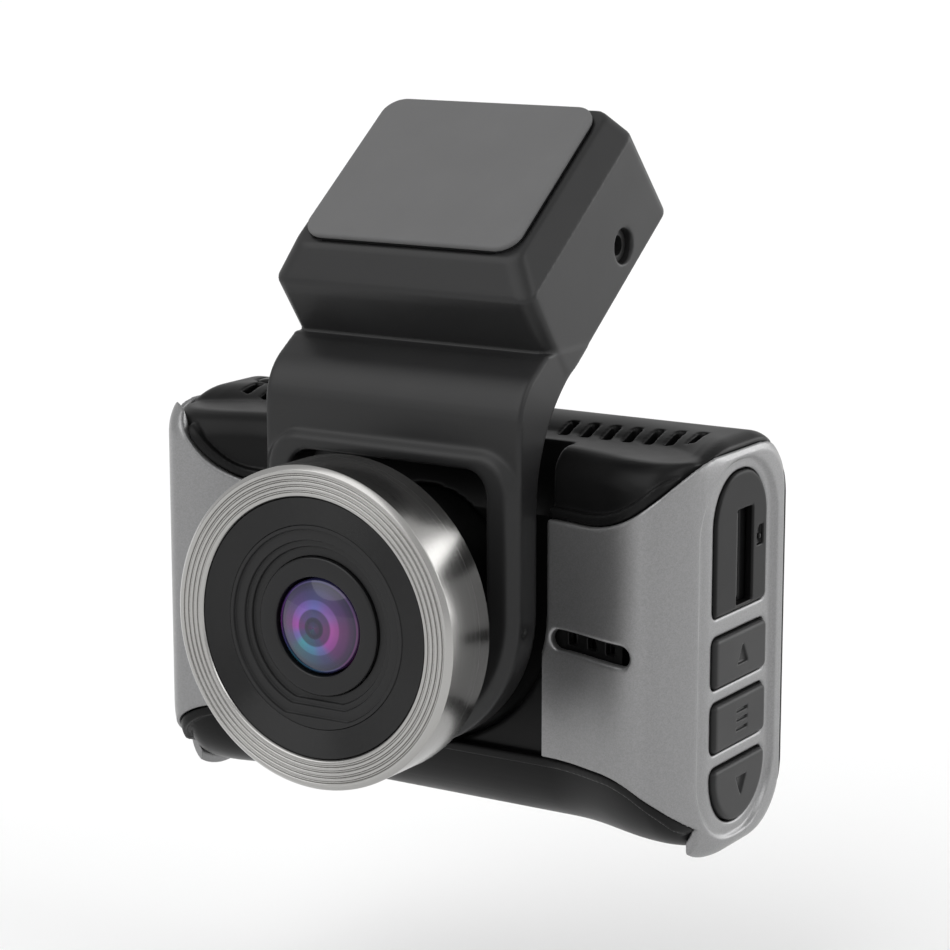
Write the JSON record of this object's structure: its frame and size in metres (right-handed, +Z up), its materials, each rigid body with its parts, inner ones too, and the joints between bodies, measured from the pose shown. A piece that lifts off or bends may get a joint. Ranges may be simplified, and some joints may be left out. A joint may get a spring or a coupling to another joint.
{
  "type": "windscreen dash camera",
  "caption": "Windscreen dash camera: ringed lens on a silver-fronted body with side keys, tilting in the plate of a stick-on bracket.",
  "frame": {"origin": "centre of the adhesive pad's outer face", "axes": "+Z up, +Y from the lens towards the screen, +X to the right as the lens is faced"},
  "size_m": [0.0774, 0.0531, 0.0889],
  "materials": {
    "pearl_grey": "pearl grey paint on plastic, fine sparkle",
    "black_satin": "satin black plastic",
    "grey_pad": "dark grey foam tape",
    "head_grey": "fine-textured black plastic",
    "screw_steel": "zinc-plated steel",
    "board_green": "green solder mask",
    "ceramic_tan": "unglazed ceramic",
    "socket_black": "black nylon",
    "chip_black": "moulded epoxy",
    "washer_nylon": "natural nylon",
    "ring_aluminium": "spun, satin",
    "bezel_black": "black, finely grooved",
    "disc_black": "black, matt",
    "barrel_black": "black anodised",
    "coated_glass": "polished, purple and blue coating",
    "clear_glass": "polished",
    "filter_glass": "polished, tinted",
    "key_grey": "satin dark grey",
    "card_black": "satin",
    "contact_gold": "gold-plated",
    "tin": "tin-plated",
    "sink_black": "anodised",
    "battery_wrap": "blue film wrap",
    "speaker_metal": "dull",
    "screen_black": "polished black glass",
    "panel_grey": "dark film",
    "ribbon_amber": "polyimide film"
  },
  "bodies": {
    "bracket": {"mount_bracket": "head_grey", "adhesive_pad": "grey_pad", "head_cover": "head_grey", "head_cover_screws": "screw_steel", "mount_board": "board_green", "gps_antenna": "ceramic_tan", "rear_camera_jack": "socket_black", "mount_board_chips": "chip_black", "pivot_pins": "screw_steel"},
    "camera": {"friction_washers": "washer_nylon", "silver_cover_right": "pearl_grey", "silver_cover_left": "pearl_grey", "front_shell": "black_satin", "rear_cover": "black_satin", "screen_glass": "screen_black", "lcd_panel": "panel_grey", "main_board": "board_green", "board_screws": "screw_steel", "processor": "chip_black", "heat_sink": "sink_black", "memory_chips": "chip_black", "button_switches": "socket_black", "power_switch": "socket_black", "usb_socket": "tin", "backup_battery": "battery_wrap", "speaker": "speaker_metal", "microphone": "tin", "speaker_grille": "black_satin", "case_screws": "screw_steel", "sensor_ribbon": "ribbon_amber", "screen_ribbon": "ribbon_amber", "card_panel": "black_satin", "card_socket": "tin", "card_contacts": "contact_gold", "lens_housing": "black_satin", "lens_housing_screws": "screw_steel", "lens_ring": "ring_aluminium", "ring_bezel": "bezel_black", "lens_baffle": "disc_black", "lens_barrel": "barrel_black", "front_lens": "coated_glass", "second_lens": "clear_glass", "third_lens": "clear_glass", "rear_lens": "clear_glass", "lens_spacers": "barrel_black", "iris_plate": "barrel_black", "lens_holder": "disc_black", "infrared_filter": "filter_glass", "image_sensor": "chip_black", "sensor_board": "board_green"},
    "up_key": {"button_up": "key_grey"},
    "menu_key": {"button_menu": "key_grey"},
    "down_key": {"button_down": "key_grey"},
    "power_key": {"power_button": "black_satin"},
    "memory_card": {"microsd_card": "card_black"}
  },
  "joints": [
    {"name": "camera_tilt", "type": "hinge", "parent": "bracket", "child": "camera", "pos_m": [0, -0.01193, -0.05324], "axis": [1, 0, 0], "range_deg": [-12, 12]},
    {"name": "button_up_press", "type": "slide", "parent": "camera", "child": "up_key", "axis": [-1, 0, 0], "range_m": [0, 0.0004], "stiffness_N_per_m": 3000, "springref_m": -0.00005},
    {"name": "button_menu_press", "type": "slide", "parent": "camera", "child": "menu_key", "axis": [-1, 0, 0], "range_m": [0, 0.0004], "stiffness_N_per_m": 3000, "springref_m": -0.00005},
    {"name": "button_down_press", "type": "slide", "parent": "camera", "child": "down_key", "axis": [-1, 0, 0], "range_m": [0, 0.0004], "stiffness_N_per_m": 3000, "springref_m": -0.00005},
    {"name": "power_button_press", "type": "slide", "parent": "camera", "child": "power_key", "axis": [0, 0, -1], "range_m": [0, 0.0004], "stiffness_N_per_m": 3000, "springref_m": -0.00005},
    {"name": "card_slide", "type": "slide", "parent": "camera", "child": "memory_card", "axis": [1, 0, 0], "range_m": [0, 0.011]}
  ]
}
